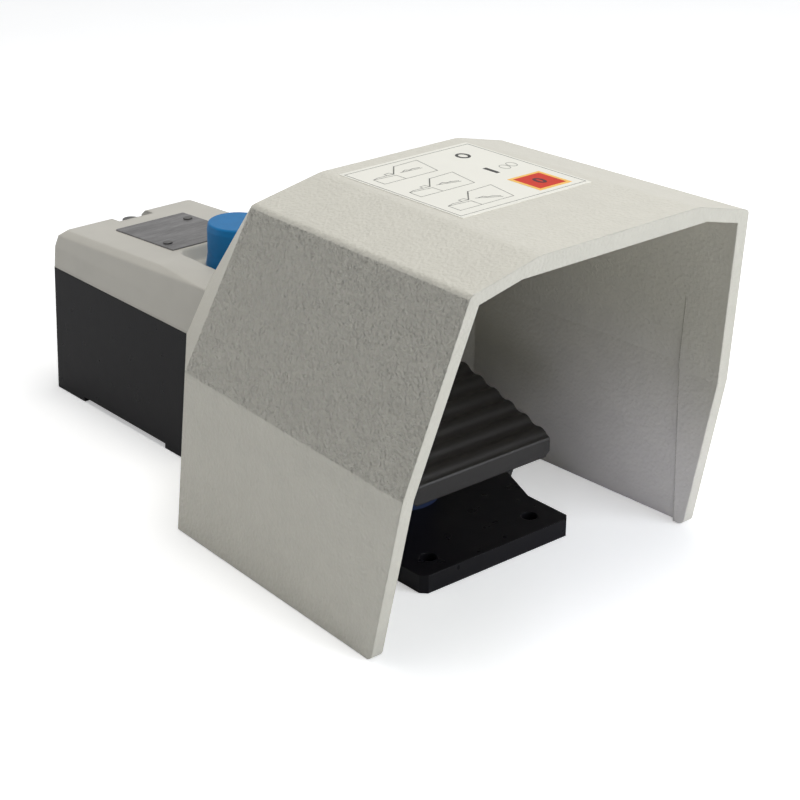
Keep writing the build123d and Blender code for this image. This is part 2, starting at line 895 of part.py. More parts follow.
def on_cover(shape):
    return cover_slope_plane(nameplate_middle_y()).location * shape


def rivet_hole(x, y):
    return on_cover(tube_z(x, y, -cover_wall * 2, nameplate_thickness, rivet_shank_radius + screw_hole_gap))


def make_nameplate():
    outline = RectangleRounded(nameplate_half_width * 2, nameplate_rear_y - nameplate_front_y,
                               nameplate_corner_radius)
    plate = extrude(outline, amount=nameplate_thickness)
    plate = chamfer(plate.faces().sort_by(Axis.Z)[-1].edges(), nameplate_thickness * nameplate_edge_share)
    plate = on_cover(plate)
    for x, y in rivet_spots():
        plate = plate - rivet_hole(x, y)
    return plate


def make_rivets():
    rivets = []
    for x, y in rivet_spots():
        head = tube_z(x, y, nameplate_thickness, nameplate_thickness + rivet_head_height, rivet_head_radius)
        head = fillet(head.edges().sort_by(Axis.Z)[-1:], rivet_head_height * nameplate_edge_share)
        shank = tube_z(x, y, nameplate_thickness - rivet_reach, nameplate_thickness, rivet_shank_radius)
        rivets.append(on_cover(head + shank))
    return rivets


# Pedal
def pedal_point(along, up):
    tilt = math.radians(pedal_tilt_deg)
    y = pedal_front_y + along * math.cos(tilt) - up * math.sin(tilt)
    z = pedal_front_z + along * math.sin(tilt) + up * math.cos(tilt)
    return pt(-pedal_half_width, y, z)


def pedal_top_edges():
    edges = []
    first = pedal_point(rib_start, pedal_thickness)
    run = (pedal_point(rib_pitch, 0) - pedal_point(0, 0)).normalized()
    valley = first
    for rib in range(rib_count):
        along = rib_start + rib * rib_pitch
        crest = pedal_point(along + rib_pitch / 2, pedal_thickness + rib_height)
        edges.extend(wave(valley, crest, run))
        valley = pedal_point(along + rib_pitch, pedal_thickness)
        edges.extend(wave(crest, valley, run))
    return first, valley, edges


def pedal_plate():
    first, last, edges = pedal_top_edges()
    tilt = math.radians(pedal_tilt_deg)
    low_front = pedal_point(0, 0)
    high_front = pt(-pedal_half_width, pedal_front_y, pedal_front_z + pedal_face_height)
    low_rear = pt(-pedal_half_width, pedal_rear_y, pedal_front_z + (pedal_rear_y - pedal_front_y) * math.tan(tilt))
    high_rear = pt(-pedal_half_width, pedal_rear_y, last.Z + (pedal_rear_y - last.Y) * math.tan(tilt))
    outline = [Line(low_front, high_front), Line(high_front, first)]
    outline.extend(edges)
    outline.extend([Line(last, high_rear), Line(high_rear, low_rear), Line(low_rear, low_front)])
    face = Face(Wire(outline))
    plate = Solid.extrude(face, pt(pedal_half_width * 2, 0, 0))
    cut = pedal_corner_cut
    for side in (-1, 1):
        corner = [
            pt(side * (pedal_half_width - cut), pedal_front_y, pedal_front_z),
            pt(side * pedal_half_width, pedal_front_y, pedal_front_z),
            pt(side * pedal_half_width, pedal_front_y, pedal_front_z + cut),
        ]
        face = Face(Wire.make_polygon(corner, close=True))
        plate = plate - Solid.extrude(face, pt(0, pedal_front_y, pedal_front_y * math.tan(tilt)))
    return plate


def make_pedal():
    pedal = pedal_plate() + tube_x(-hub_half_width, hub_half_width, axle_y, axle_z, hub_radius)
    pedal = pedal + block(-web_half_width, web_half_width, web_front_y, web_rear_y, web_bottom_z, axle_z)
    pedal = pedal + block(-arm_half_width, arm_half_width, web_front_y, arm_end_y, arm_bottom_z, arm_top_z)
    for side in (-1, 1):
        pedal = pedal + tube_z(side * return_spring_x, return_spring_y, spring_seat_z,
                               axle_z + pedal_thickness / 2, spring_seat_radius)
    pedal = pedal - tube_x(-hub_half_width, hub_half_width, axle_y, axle_z, axle_radius + pedal_bore_gap)
    for side in (-1, 1):
        end = side * hub_half_width
        inner = end - side * bush_length
        pedal = pedal - tube_x(min(end, inner), max(end, inner), axle_y, axle_z, bush_radius + bush_fit_gap)
        pedal = pedal - tube_y(side * crank_screw_x, web_rear_y - crank_screw_reach, web_rear_y, crank_screw_z,
                               crank_screw_radius + screw_hole_gap)
    return pedal


def make_bushes():
    sleeve = tube_x(hub_half_width - bush_length, hub_half_width, axle_y, axle_z, bush_radius)
    flange = tube_x(hub_half_width, hub_half_width + bush_flange_thickness, axle_y, axle_z, bush_flange_radius)
    bore = tube_x(0, axle_half_length, axle_y, axle_z, axle_radius + axle_fit_gap)
    return both_sides(sleeve + flange - bore)


def axle_clip_x():
    return ear_inner_x + ear_thickness + bush_fit_gap


def make_axle():
    axle = tube_x(-axle_half_length, axle_half_length, axle_y, axle_z, axle_radius)
    start = axle_clip_x()
    groove = tube_x(start, start + axle_clip_thickness, axle_y, axle_z, axle_radius * 2, axle_radius - groove_depth)
    for side in both_sides(groove):
        axle = axle - side
    return axle


def make_axle_clips():
    ring = open_ring(axle_clip_thickness, axle_clip_radius, axle_radius - groove_depth + bush_fit_gap)
    clip = Pos(axle_clip_x() + axle_clip_thickness / 2, axle_y, axle_z) * (Rot(0, 90, 0) * ring)
    return both_sides(clip)


def make_crank():
    crank = block(-crank_half_width, crank_half_width, web_rear_y, web_rear_y + crank_thickness,
                  crank_bottom_z, crank_top_z)
    for side in (-1, 1):
        crank = crank - tube_y(side * crank_screw_x, web_rear_y, web_rear_y + crank_thickness, crank_screw_z,
                               crank_screw_radius + screw_hole_gap)
    return crank


def make_crank_screws():
    screws = []
    seat_y = web_rear_y + crank_thickness
    for side in (-1, 1):
        screw = screw_down(0, 0, 0, crank_screw_radius, crank_thickness + crank_screw_reach - screw_hole_gap,
                           crank_screw_head_radius, crank_screw_head_height)
        screws.append(Pos(side * crank_screw_x, seat_y, crank_screw_z) * (Rot(-90, 0, 0) * screw))
    return screws


def make_return_springs():
    return [coil(side * return_spring_x, return_spring_y, plate_thickness + spring_seat_gap,
                 spring_seat_z - spring_seat_gap, return_spring_radius, return_spring_wire, return_spring_turns)
            for side in (-1, 1)]


def make_stop_pad():
    profile = [
        (0, plate_thickness),
        (stop_pad_radius, plate_thickness),
        (stop_pad_radius, plate_thickness + stop_pad_flange),
        (stop_pad_waist_radius, plate_thickness + stop_pad_flange),
        (stop_pad_waist_radius, stop_pad_top_z),
        (0, stop_pad_top_z),
    ]
    pad = turned(profile, 0, stop_pad_y)
    rims = [edge for edge in pad.edges() if (edge @ 0).Z > plate_thickness + stop_pad_flange / 2
            and edge.length > stop_pad_waist_radius * 4]
    return fillet(rims, stop_pad_edge_radius)


# Contacts
def plunger_tip_y():
    return web_rear_y + crank_thickness + plunger_tip_gap


def make_plunger(side):
    start = plunger_tip_y() + plunger_radius
    body = tube_y(side * plunger_x, start, start + plunger_length, plunger_z, plunger_radius)
    return body + Pos(side * plunger_x, start, plunger_z) * Sphere(plunger_radius)


def make_contact_block(side):
    body = block(block_inner_x, block_outer_x, block_front_y, block_rear_y, box_floor + rail_thickness, block_top_z)
    body = chamfer(body.edges().filter_by(Axis.Z), block_edge_cut)
    body = body - block(0, box_half_width, block_ledge_y, box_rear_y, block_ledge_z, block_top_z)
    end = plunger_tip_y() + plunger_radius + plunger_length + plunger_travel + plunger_bore_gap
    body = body - tube_y(plunger_x, block_front_y, end, plunger_z, plunger_radius + plunger_bore_gap)
    for x, y in terminal_spots():
        body = body - tube_z(x, y, block_ledge_z - terminal_screw_reach, block_ledge_z,
                             terminal_screw_radius + screw_hole_gap)
    if side < 0:
        return mirror(body, about=Plane.YZ)
    return body


def terminal_spots():
    y = (block_ledge_y + block_rear_y) / 2
    return [(block_inner_x + terminal_inset, y), (block_outer_x - terminal_inset, y)]


def make_terminals():
    tabs = []
    for x, y in terminal_spots():
        tab = block(x - terminal_width / 2, x + terminal_width / 2, y - terminal_length / 2, y + terminal_length / 2,
                    block_ledge_z, block_ledge_z + terminal_thickness)
        tab = tab - tube_z(x, y, block_ledge_z, block_ledge_z + terminal_thickness,
                           terminal_screw_radius + screw_hole_gap)
        tabs.extend(both_sides(tab))
    return tabs


def make_terminal_screws():
    screws = []
    for x, y in terminal_spots():
        screw = screw_down(x, y, block_ledge_z + terminal_thickness, terminal_screw_radius, terminal_screw_reach,
                           terminal_screw_head_radius, terminal_screw_head_height)
        screws.extend(both_sides(screw))
    return screws


def rail_screw_spots():
    return [(0, rail_screw_front_y + row * rail_screw_pitch) for row in range(2)]


def make_rail():
    rail = block(-rail_half_width, rail_half_width, rail_front_y, rail_rear_y, box_floor, box_floor + rail_thickness)
    for x, y in rail_screw_spots():
        rail = rail - tube_z(x, y, box_floor, box_floor + rail_thickness, small_screw_radius + screw_hole_gap)
    return rail


def small_screws(spots, seat_z):
    return [screw_down(x, y, seat_z, small_screw_radius, rail_thickness + small_screw_reach - screw_hole_gap,
                       small_screw_head_radius, small_screw_head_height) for x, y in spots]


# Latch that holds the pedal down after the second step
def make_bracket():
    foot_z = box_floor + rail_thickness
    bracket = block(-bracket_foot_half, bracket_foot_half, bracket_foot_front_y, bracket_rear_y, box_floor, foot_z)
    for side in both_sides(block(bracket_inner_x, bracket_inner_x + bracket_thickness, bracket_front_y,
                                 bracket_rear_y, box_floor, bracket_top_z)):
        bracket = bracket + side
    half = bracket_inner_x + bracket_thickness
    bracket = bracket + block(-half, half, bracket_shelf_front_y, bracket_rear_y,
                              bracket_shelf_z - bracket_thickness, bracket_shelf_z)
    bracket = bracket - tube_x(-half, half, latch_y, latch_z, latch_pin_radius + latch_pin_gap)
    for side in (-1, 1):
        bracket = bracket - tube_z(side * bracket_screw_x, bracket_screw_y, box_floor, foot_z,
                                   small_screw_radius + screw_hole_gap)
    return bracket


def make_latch_pin():
    pin = tube_x(-latch_pin_half, latch_pin_half, latch_y, latch_z, latch_pin_radius)
    start = bracket_inner_x + bracket_thickness
    for side in both_sides(tube_x(start, start + latch_pin_head, latch_y, latch_z, latch_pin_head_radius)):
        pin = pin + side
    return pin


def make_pawl():
    half = latch_half_width
    arm = block(-half, half, latch_nose_y, latch_y, latch_arm_bottom_z, latch_arm_top_z)
    nose = block(-half, half, latch_nose_y, latch_nose_rear_y, latch_nose_bottom_z, latch_arm_top_z)
    pad_z = stem_bottom_z - latch_pad_gap - latch_pad_radius
    pawl = arm + nose + tube_x(-half, half, knob_y, pad_z, latch_pad_radius)
    pawl = pawl + tube_x(-half, half, latch_y, latch_z, latch_hub_radius)
    return pawl - tube_x(-half, half, latch_y, latch_z, latch_pin_radius + latch_pin_gap)


def make_latch_spring():
    return coil(0, latch_spring_y, bracket_shelf_z + spring_seat_gap, latch_arm_bottom_z - spring_seat_gap,
                latch_spring_radius, latch_spring_wire, latch_spring_turns)


# Earth terminal
def make_earth_terminal():
    seat_z = box_floor + earth_boss_height
    washer = tube_z(earth_x, earth_y, seat_z, seat_z + earth_washer_thickness, earth_washer_radius)
    reach = earth_screw_reach + earth_washer_thickness - screw_hole_gap
    screw = screw_down(earth_x, earth_y, seat_z + earth_washer_thickness, earth_screw_radius, reach,
                       earth_head_radius, earth_head_height)
    return washer + screw


# Cable gland
def gland_face_y():
    return gland_boss_y + gland_flange_length


def make_gland_body():
    body = tube_y(0, gland_thread_y, gland_boss_y, gland_z, gland_thread_radius)
    body = body + hex_y(0, gland_boss_y, gland_face_y(), gland_z, gland_flat)
    body = body + tube_y(0, gland_face_y(), gland_face_y() + gland_neck_length, gland_z, gland_neck_radius)
    body = body - tube_y(0, gland_thread_y, overall_length, gland_z, gland_bore_radius)
    return body - tube_y(0, gland_face_y(), overall_length, gland_z, gland_seal_radius + gland_socket_gap)


def make_gland_seal():
    return tube_y(0, gland_face_y(), gland_face_y() + gland_seal_length, gland_z, gland_seal_radius, gland_bore_radius)


def make_gland_nut():
    start = gland_face_y() + gland_nut_gap
    shell = hex_y(0, start, overall_length - gland_nut_taper, gland_z, gland_flat)
    shell = shell + tube_y(0, start, overall_length, gland_z, gland_neck_radius)
    shell = shell - tube_y(0, start, gland_face_y() + gland_seal_length + gland_socket_gap, gland_z,
                           gland_neck_radius + gland_socket_gap)
    return shell - tube_y(0, start, overall_length, gland_z, gland_bore_radius)


def make_gland_locknut():
    end = box_cavity_rear_y
    nut = hex_y(0, end - gland_locknut_thickness, end, gland_z, gland_locknut_flat)
    return nut - tube_y(0, gland_thread_y, end, gland_z, gland_thread_radius + gland_socket_gap)


nodes = {
    "base_casting": make_base(),
    "hood": make_hood(),
    "hood_label": make_label(),
    "hood_screws": make_hood_screws(),
    "housing_cover": make_cover(),
    "cover_gasket": gasket_ring(0),
    "cover_screw": make_cover_screw(),
    "nameplate": make_nameplate(),
    "nameplate_rivets": make_rivets(),
    "pedal": make_pedal(),
    "pedal_bushes": make_bushes(),
    "pedal_axle": make_axle(),
    "axle_clips": make_axle_clips(),
    "pedal_crank": make_crank(),
    "crank_screws": make_crank_screws(),
    "return_springs": make_return_springs(),
    "pressure_pad": make_stop_pad(),
    "reset_button": make_knob(),
    "button_stem": make_stem(),
    "stem_clip": make_stem_clip(),
    "stem_seal": make_stem_seal(),
    "button_spring": make_button_spring(),
    "latch_pawl": make_pawl(),
    "latch_pin": make_latch_pin(),
    "latch_bracket": make_bracket(),
    "latch_spring": make_latch_spring(),
    "bracket_screws": small_screws([(-bracket_screw_x, bracket_screw_y), (bracket_screw_x, bracket_screw_y)],
                                   box_floor + rail_thickness),
    "plunger_1": make_plunger(-1),
    "plunger_2": make_plunger(1),
    "contact_block_1": make_contact_block(-1),
    "contact_block_2": make_contact_block(1),
    "contact_terminals": make_terminals(),
    "terminal_screws": make_terminal_screws(),
    "contact_rail": make_rail(),
    "rail_screws": small_screws(rail_screw_spots(), box_floor + rail_thickness),
    "earth_terminal": make_earth_terminal(),
    "gland_body": make_gland_body(),
    "gland_locknut": make_gland_locknut(),
    "gland_seal": make_gland_seal(),
    "gland_nut": make_gland_nut(),
}

to_frame = Pos(0, -overall_length / 2, 0)
for name, shape in nodes.items():
    pieces = shape if isinstance(shape, list) else [shape]
    solids = [to_frame * solid for piece in pieces for solid in piece.solids()]
    placed = solids[0] if len(solids) == 1 else Compound(children=solids)
    export_step(placed, "parts/" + name + ".step")
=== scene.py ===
import math

import bmesh
import bpy
from mathutils import Matrix, Vector


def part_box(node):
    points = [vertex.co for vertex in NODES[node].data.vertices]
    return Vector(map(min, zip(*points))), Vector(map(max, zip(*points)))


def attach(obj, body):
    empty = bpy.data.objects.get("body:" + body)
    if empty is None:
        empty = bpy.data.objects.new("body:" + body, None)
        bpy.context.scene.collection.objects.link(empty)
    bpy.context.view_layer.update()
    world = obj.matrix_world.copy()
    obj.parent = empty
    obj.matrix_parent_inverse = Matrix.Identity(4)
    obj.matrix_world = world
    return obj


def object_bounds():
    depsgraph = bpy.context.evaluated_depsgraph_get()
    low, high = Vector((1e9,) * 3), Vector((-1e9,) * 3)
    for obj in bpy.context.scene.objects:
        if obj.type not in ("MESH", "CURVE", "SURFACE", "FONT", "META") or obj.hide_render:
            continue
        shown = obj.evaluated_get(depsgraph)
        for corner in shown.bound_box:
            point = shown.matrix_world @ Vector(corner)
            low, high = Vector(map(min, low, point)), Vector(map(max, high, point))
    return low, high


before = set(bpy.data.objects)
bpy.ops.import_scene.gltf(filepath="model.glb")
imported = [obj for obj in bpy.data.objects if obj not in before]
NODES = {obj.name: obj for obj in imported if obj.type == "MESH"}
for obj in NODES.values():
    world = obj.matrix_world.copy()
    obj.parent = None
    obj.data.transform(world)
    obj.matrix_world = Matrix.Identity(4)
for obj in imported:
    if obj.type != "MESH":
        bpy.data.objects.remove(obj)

cad_low, cad_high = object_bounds()

MM = 0.001

# Camera, fitted to the photograph, in the frame of the part
CAMERA_AZIMUTH = math.radians(-40.82)
CAMERA_ELEVATION = math.radians(24.17)
CAMERA_ROLL = math.radians(0.52)
CAMERA_PLACE = Vector((-469.14, -589.70, 368.56)) * MM
CAMERA_LENS = 93.95
CAMERA_SENSOR = 36.0
CAMERA_REACH = 20.0

# Label on the hood's top, in mm from its middle; rows run from the rear to the front
LABEL_FRAME_HALF = (29.0, 30.3)
LABEL_FRAME_STROKE = 0.22
LABEL_INK_HEIGHT = 0.05
PATCH_INK_HEIGHT = 0.08
PATCH_ZERO_INK_HEIGHT = 0.11
LABEL_REAR_BAND = 2.0
RING_STEPS = 40
ZERO_SPOT = (17.6, 20.2)
ZERO_HALF = (2.6, 3.2)
ZERO_STROKE = 1.1
ONE_SPOT = (13.1, 0.4)
ONE_HALF = (0.8, 3.7)
LOOP_SPOTS = ((19.6, 0.4), (23.5, 1.1))
LOOP_HALF = (1.8, 2.6)
LOOP_STROKE = 0.3
PATCH_SPOT = (17.4, -19.4)
PATCH_OUTER_HALF = (7.6, 8.3)
PATCH_INNER_HALF = (6.2, 6.8)
PATCH_ZERO_HALF = (1.9, 3.1)
PATCH_ZERO_STROKE = 1.3
SKETCH_ROWS = (12.9, -6.2, -25.9)
SKETCH_STROKE = 0.2
SKETCH_BOLD_STROKE = 0.45
SKETCH_FOOT_STROKE = 0.3
SKETCH_HOOD = ((-15.5, 6.8), (-9.6, 13.7), (1.6, 14.3), (-1.0, 0.0), (-15.5, 0.0), (-15.6, 5.3))
SKETCH_BOX = ((-15.6, 5.3), (-25.2, 6.2), (-25.3, 0.0), (-15.5, 0.0))
SKETCH_LID = ((-25.2, 6.2), (-22.6, 7.1), (-15.5, 6.8))
SKETCH_KNOB = ((-18.4, 6.9), (-18.3, 8.7), (-15.9, 8.9), (-15.5, 6.8))
SKETCH_PEDAL_PIVOT = (-12.6, 6.6)
SKETCH_PEDAL_LENGTH = 9.6
SKETCH_PEDAL_ANGLES = (-4.0, -14.0, -30.0)
SKETCH_FOOT = ((1.2, 0.3), (3.0, 1.5), (4.4, 0.6), (6.2, 1.3), (9.0, 0.9))

# Depth of the hood's paint grain, and its share by how far a face looks up: 0 is down, 1 is up
GRAIN_DEPTH = 2.0 * MM
GRAIN_CELL = 1.5 * MM
GRAIN_CELL_SMOOTHNESS = 0.6
GRAIN_SHARES = ((0.40, 0.08), (0.49, 0.08), (0.53, 0.24), (0.58, 1.0), (0.65, 1.0), (0.68, 0.12),
                (0.93, 0.14))
GRAIN_END_SHARES = (0.08, 0.08)

# Range of a noise texture that is stretched over the whole of what it drives
NOISE_LOW = 0.3
NOISE_HIGH = 0.7
BEVEL_SAMPLES = 6

# The floor's side and drop in metres, and how much whiter than its light it looks to the camera
FLOOR_SIDE = 6.0
FLOOR_DROP = 0.2 * MM
FLOOR_GREY = (0.94, 0.94, 0.94)
FLOOR_SHADES = ((0.93, 0.93, 0.93), (0.95, 0.95, 0.95))
FLOOR_WHITENING = 0.38

# Daylight that reaches the part from all round; the camera and mirrors see white instead
WORLD_COLOUR = (0.84, 0.91, 1.0)
WORLD_STRENGTH = 0.15
WHITE = (1.0, 1.0, 1.0)

# Where the lamps aim, and the cone of the small lamp that lights the hood's inner wall
PART_MIDDLE = (0.0, 0.0, 0.07)
MOUTH_CONE = math.radians(45.0)


# Materials
def new_material(name, colour, roughness, metallic=0.0, specular=0.5):
    material = bpy.data.materials.new(name)
    material.use_nodes = True
    shader = material.node_tree.nodes["Principled BSDF"]
    shader.inputs["Base Color"].default_value = (*colour, 1.0)
    shader.inputs["Roughness"].default_value = roughness
    shader.inputs["Metallic"].default_value = metallic
    shader.inputs["Specular IOR Level"].default_value = specular
    return material, shader


def add_node(material, kind, **values):
    node = material.node_tree.nodes.new(kind)
    for name, value in values.items():
        setattr(node, name, value)
    return node


def link(material, source, target):
    material.node_tree.links.new(source, target)


def place_texture(material, stretch=(1.0, 1.0, 1.0)):
    coordinates = add_node(material, "ShaderNodeTexCoord")
    mapping = add_node(material, "ShaderNodeMapping")
    mapping.inputs["Scale"].default_value = stretch
    link(material, coordinates.outputs["Object"], mapping.inputs["Vector"])
    return mapping.outputs["Vector"]


def noise(material, vector, cell, detail=2.0):
    texture = add_node(material, "ShaderNodeTexNoise")
    texture.inputs["Scale"].default_value = 1.0 / cell
    texture.inputs["Detail"].default_value = detail
    link(material, vector, texture.inputs["Vector"])
    return texture.outputs["Fac"]


def spread(material, value, low, high):
    ramp = add_node(material, "ShaderNodeMapRange")
    ramp.inputs["From Min"].default_value = NOISE_LOW
    ramp.inputs["From Max"].default_value = NOISE_HIGH
    ramp.inputs["To Min"].default_value = low
    ramp.inputs["To Max"].default_value = high
    link(material, value, ramp.inputs["Value"])
    return ramp.outputs["Result"]


def tint(material, shader, value, dark, light):
    mix = add_node(material, "ShaderNodeMix", data_type="RGBA")
    mix.inputs[6].default_value = (*dark, 1.0)
    mix.inputs[7].default_value = (*light, 1.0)
    link(material, spread(material, value, 0.0, 1.0), mix.inputs[0])
    link(material, mix.outputs[2], shader.inputs["Base Color"])


def shades(colour, change):
    return [tuple(min(1.0, channel * (1 + step)) for channel in colour) for step in (-change, change)]


def mottle(material, shader, vector, colour, cell, change, detail=2.0):
    tint(material, shader, noise(material, vector, cell, detail), *shades(colour, change))


def vary_roughness(material, shader, value, low, high):
    link(material, spread(material, value, low, high), shader.inputs["Roughness"])


def relief(material, shader, value, depth, edge=0.0):
    bump = add_node(material, "ShaderNodeBump")
    bump.inputs["Distance"].default_value = depth
    bump.inputs["Strength"].default_value = 1.0
    link(material, value, bump.inputs["Height"])
    if edge:
        bevel = add_node(material, "ShaderNodeBevel", samples=BEVEL_SAMPLES)
        bevel.inputs["Radius"].default_value = edge
        link(material, bevel.outputs["Normal"], bump.inputs["Normal"])
    link(material, bump.outputs["Normal"], shader.inputs["Normal"])
    return bump


def fine_relief(material, shader, vector, cell, depth, edge=0.0):
    relief(material, shader, noise(material, vector, cell), depth, edge)


def vary_grain(material, bump):
    coordinates = add_node(material, "ShaderNodeTexCoord")
    parts = add_node(material, "ShaderNodeSeparateXYZ")
    link(material, coordinates.outputs["Normal"], parts.inputs["Vector"])
    upward = add_node(material, "ShaderNodeMapRange")
    upward.inputs["From Min"].default_value = -1.0
    link(material, parts.outputs["Z"], upward.inputs["Value"])
    ramp = add_node(material, "ShaderNodeValToRGB")
    for stop, share in zip(ramp.color_ramp.elements, GRAIN_END_SHARES):
        stop.color = (share, share, share, 1.0)
    for place, share in GRAIN_SHARES:
        stop = ramp.color_ramp.elements.new(place)
        stop.color = (share, share, share, 1.0)
    link(material, upward.outputs["Result"], ramp.inputs["Fac"])
    depth = add_node(material, "ShaderNodeMath", operation="MULTIPLY")
    depth.inputs[1].default_value = GRAIN_DEPTH
    link(material, ramp.outputs["Color"], depth.inputs[0])
    link(material, depth.outputs["Value"], bump.inputs["Distance"])


def powder_coat():
    colour = (0.61, 0.588, 0.515)
    material, shader = new_material("textured_powder_coat", colour, roughness=0.42)
    vector = place_texture(material)
    mottle(material, shader, vector, colour, cell=9 * MM, change=0.02)
    cells = add_node(material, "ShaderNodeTexVoronoi", feature="SMOOTH_F1")
    cells.inputs["Scale"].default_value = 1.0 / GRAIN_CELL
    cells.inputs["Smoothness"].default_value = GRAIN_CELL_SMOOTHNESS
    link(material, vector, cells.inputs["Vector"])
    total = add_node(material, "ShaderNodeMath", operation="ADD")
    link(material, cells.outputs["Distance"], total.inputs[0])
    link(material, noise(material, vector, cell=0.9 * MM, detail=3.0), total.inputs[1])
    bump = relief(material, shader, total.outputs["Value"], GRAIN_DEPTH, edge=0.8 * MM)
    vary_grain(material, bump)
    return material


def smooth_lacquer():
    colour = (0.505, 0.484, 0.431)
    material, shader = new_material("smooth_grey_lacquer", colour, roughness=0.45)
    vector = place_texture(material)
    mottle(material, shader, vector, colour, cell=14 * MM, change=0.025)
    fine_relief(material, shader, vector, cell=2.2 * MM, depth=0.03 * MM, edge=2.2 * MM)
    return material


def black_lacquer():
    colour = (0.0075, 0.007, 0.0085)
    material, shader = new_material("black_lacquer", colour, roughness=0.32, specular=0.12)
    vector = place_texture(material)
    vary_roughness(material, shader, noise(material, vector, cell=6 * MM), low=0.27, high=0.36)
    fine_relief(material, shader, vector, cell=0.8 * MM, depth=0.02 * MM, edge=0.7 * MM)
    return material


def pedal_lacquer():
    colour = (0.012, 0.0105, 0.010)
    material, shader = new_material("pedal_lacquer", colour, roughness=0.42, specular=0.4)
    vector = place_texture(material)
    vary_roughness(material, shader, noise(material, vector, cell=3 * MM), low=0.38, high=0.5)
    fine_relief(material, shader, vector, cell=0.7 * MM, depth=0.04 * MM, edge=0.6 * MM)
    return material


def blue_plastic():
    colour = (0.008, 0.162, 0.40)
    material, shader = new_material("blue_plastic", colour, roughness=0.45, specular=0.16)
    vector = place_texture(material)
    mottle(material, shader, vector, colour, cell=5 * MM, change=0.05)
    fine_relief(material, shader, vector, cell=0.9 * MM, depth=0.015 * MM, edge=0.7 * MM)
    return material


def blue_rubber():
    material, shader = new_material("blue_rubber", (0.006, 0.02, 0.075), roughness=0.6)
    vector = place_texture(material)
    fine_relief(material, shader, vector, cell=1.0 * MM, depth=0.03 * MM, edge=0.5 * MM)
    return material


def black_rubber():
    material, shader = new_material("black_rubber", (0.02, 0.02, 0.02), roughness=0.7)
    vector = place_texture(material)
    fine_relief(material, shader, vector, cell=1.0 * MM, depth=0.03 * MM)
    return material


def black_plastic():
    material, shader = new_material("black_plastic", (0.022, 0.022, 0.023), roughness=0.45)
    vector = place_texture(material)
    fine_relief(material, shader, vector, cell=0.6 * MM, depth=0.02 * MM, edge=0.3 * MM)
    return material


def pale_plastic():
    colour = (0.62, 0.60, 0.54)
    material, shader = new_material("pale_plastic", colour, roughness=0.4)
    vector = place_texture(material)
    mottle(material, shader, vector, colour, cell=4 * MM, change=0.03)
    fine_relief(material, shader, vector, cell=0.8 * MM, depth=0.01 * MM)
    return material


def zinc_steel():
    colour = (0.58, 0.58, 0.56)
    material, shader = new_material("zinc_steel", colour, roughness=0.35, metallic=1.0)
    vector = place_texture(material)
    vary_roughness(material, shader, noise(material, vector, cell=2 * MM), low=0.28, high=0.45)
    fine_relief(material, shader, vector, cell=0.5 * MM, depth=0.01 * MM, edge=0.2 * MM)
    return material


def spring_steel():
    colour = (0.36, 0.36, 0.37)
    material, shader = new_material("spring_steel", colour, roughness=0.3, metallic=1.0)
    vector = place_texture(material)
    vary_roughness(material, shader, noise(material, vector, cell=1 * MM), low=0.25, high=0.4)
    return material


def brass():
    colour = (0.62, 0.45, 0.18)
    material, shader = new_material("brass", colour, roughness=0.3, metallic=1.0)
    vector = place_texture(material)
    vary_roughness(material, shader, noise(material, vector, cell=1.5 * MM), low=0.24, high=0.4)
    return material


def plate_metal():
    colour = (0.11, 0.107, 0.107)
    material, shader = new_material("brushed_plate", colour, roughness=0.45, metallic=0.6)
    vector = place_texture(material, stretch=(0.12, 1.0, 1.0))
    mottle(material, shader, vector, colour, cell=3.5 * MM, change=0.3, detail=4.0)
    streaks = noise(material, vector, cell=0.5 * MM, detail=4.0)
    vary_roughness(material, shader, streaks, low=0.34, high=0.52)
    relief(material, shader, streaks, depth=0.01 * MM, edge=0.15 * MM)
    return material


def dark_rivet():
    material, shader = new_material("dark_rivet", (0.07, 0.068, 0.066), roughness=0.45, metallic=0.8)
    vector = place_texture(material)
    fine_relief(material, shader, vector, cell=0.4 * MM, depth=0.01 * MM, edge=0.2 * MM)
    return material


def film():
    colour = (0.80, 0.785, 0.715)
    material, shader = new_material("label_film", colour, roughness=0.5, specular=0.3)
    vector = place_texture(material)
    mottle(material, shader, vector, colour, cell=12 * MM, change=0.01)
    fine_relief(material, shader, vector, cell=1.2 * MM, depth=0.008 * MM)
    return material


def ink(name, colour):
    material, shader = new_material(name, colour, roughness=0.55, specular=0.2)
    vector = place_texture(material)
    mottle(material, shader, vector, colour, cell=2 * MM, change=0.04)
    return material


def paint(names, material):
    for name in names:
        node = NODES[name]
        node.data.materials.clear()
        node.data.materials.append(material)


def dress_nodes():
    paint(["hood"], powder_coat())
    paint(["housing_cover"], smooth_lacquer())
    paint(["base_casting"], black_lacquer())
    paint(["pedal"], pedal_lacquer())
    paint(["reset_button"], blue_plastic())
    paint(["pressure_pad"], blue_rubber())
    paint(["hood_label"], film())
    paint(["nameplate"], plate_metal())
    paint(["nameplate_rivets", "cover_screw"], dark_rivet())
    paint(["cover_gasket", "stem_seal", "gland_seal"], black_rubber())
    paint(["gland_body", "gland_locknut", "gland_nut", "contact_block_1", "contact_block_2"],
          black_plastic())
    paint(["pedal_bushes", "plunger_1", "plunger_2"], pale_plastic())
    paint(["contact_terminals", "earth_terminal"], brass())
    paint(["return_springs", "button_spring", "latch_spring", "axle_clips", "stem_clip"], spring_steel())
    paint(["hood_screws", "pedal_axle", "pedal_crank", "crank_screws", "button_stem", "latch_pawl", "latch_pin",
           "latch_bracket", "bracket_screws", "terminal_screws", "contact_rail", "rail_screws"], zinc_steel())


